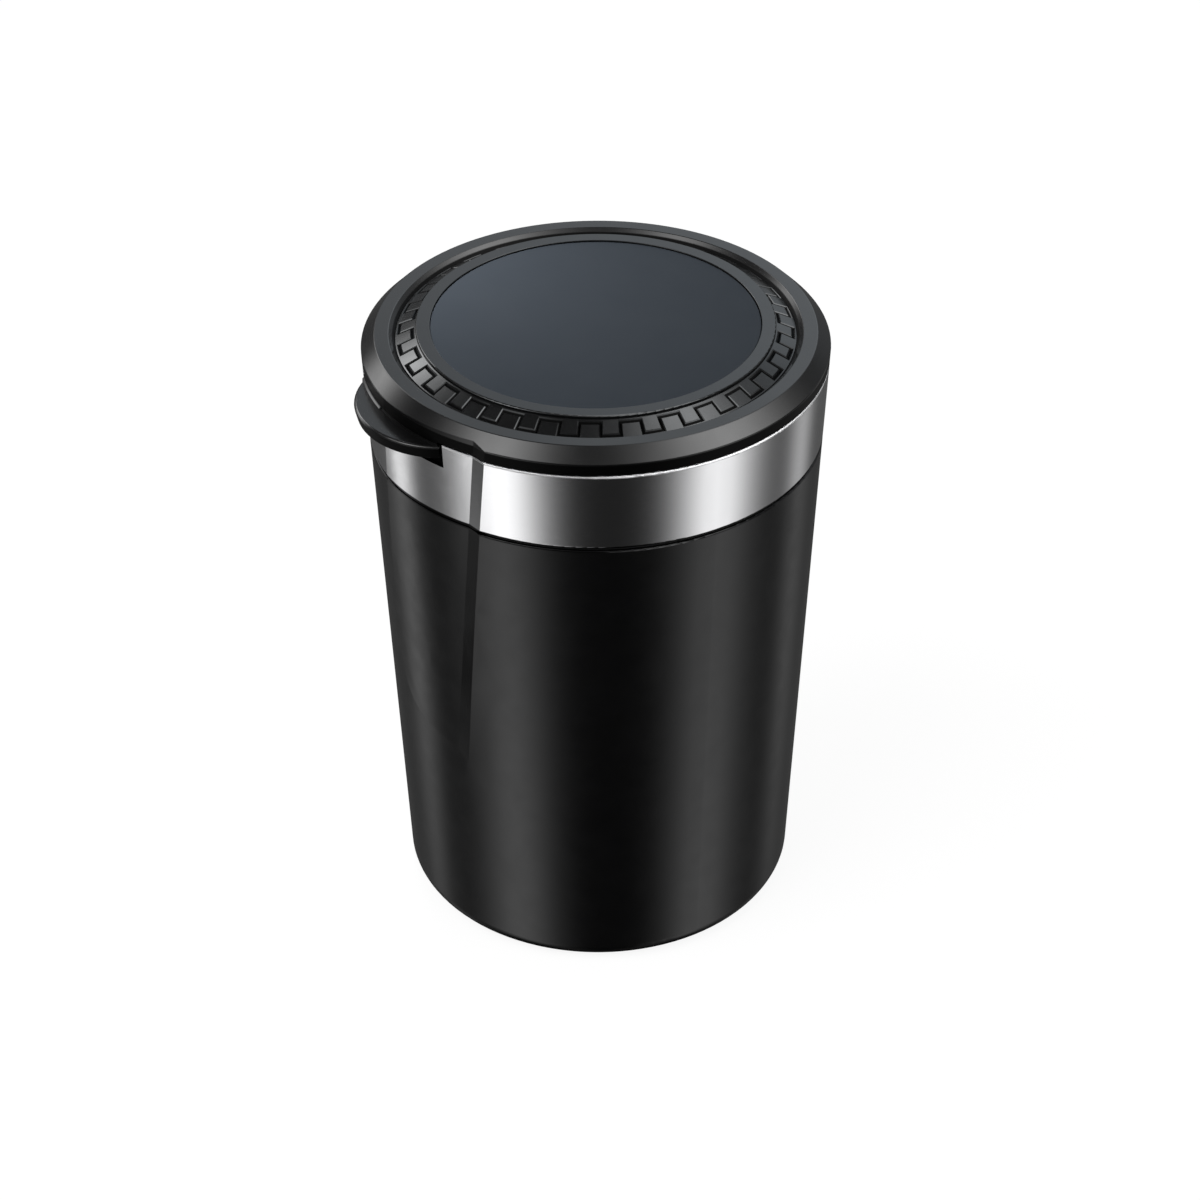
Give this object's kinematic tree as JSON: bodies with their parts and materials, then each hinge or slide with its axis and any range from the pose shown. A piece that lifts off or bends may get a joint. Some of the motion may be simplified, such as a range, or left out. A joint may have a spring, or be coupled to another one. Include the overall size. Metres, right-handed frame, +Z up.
{
  "type": "car ashtray",
  "caption": "Tapered car ashtray for a cup holder: black cup, bright band, and a hinged lid with thumb tab, meander ring and slate disc; the head lifts off to empty the liner.",
  "frame": {"origin": "centre of the pad's underside, on the surface that the ashtray stands on, on the cup's axis", "axes": "+Z up along the cup's axis; -Y towards the thumb tab; +Y towards the hinge; +X to the right seen from the tab"},
  "size_m": [0.0786, 0.0829, 0.1112],
  "materials": {
    "cup_black": "satin black flame-retardant moulding",
    "pad_rubber": "matt non-slip pad",
    "liner_steel": "drawn sheet, satin",
    "collar_black": "fine moulded texture",
    "seal_rubber": "matt silicone",
    "plate_steel": "pressed sheet, brushed",
    "band_chrome": "bright plated",
    "pin_steel": "drawn wire, satin",
    "lid_black": "satin black moulding",
    "ring_black": "glossy black, engraved",
    "disc_slate": "satin slate enamel",
    "cover_black": "fine moulded texture",
    "lens_frosted": "frosted translucent",
    "board_green": "solder-masked board",
    "chip_white": "white package with phosphor",
    "cell_steel": "nickelled can",
    "contact_brass": "spring brass strip"
  },
  "bodies": {
    "cup": {"outer_cup": "cup_black", "base_pad": "pad_rubber", "inner_liner": "liner_steel"},
    "head": {"head_collar": "collar_black", "collar_seal": "seal_rubber", "snuffer_plate": "plate_steel", "trim_band": "band_chrome", "hinge_pin": "pin_steel"},
    "lid": {"lid_frame": "lid_black", "decor_ring": "ring_black", "lid_disc": "disc_slate", "lid_gasket": "seal_rubber", "lid_inner_cover": "cover_black", "cover_screws": "pin_steel", "light_lens": "lens_frosted", "lamp_board": "board_green", "lamp_chip": "chip_white", "tilt_switch": "pin_steel", "coin_cell": "cell_steel", "battery_door": "cover_black", "battery_contacts": "contact_brass"}
  },
  "joints": [
    {"name": "head_lift", "type": "slide", "parent": "cup", "child": "head", "axis": [0, 0, 1], "range_m": [0, 0.03]},
    {"name": "lid_hinge", "type": "hinge", "parent": "head", "child": "lid", "pos_m": [0, 0.03721, 0.1033], "axis": [-1, 0, 0], "range_deg": [0, 100]}
  ]
}
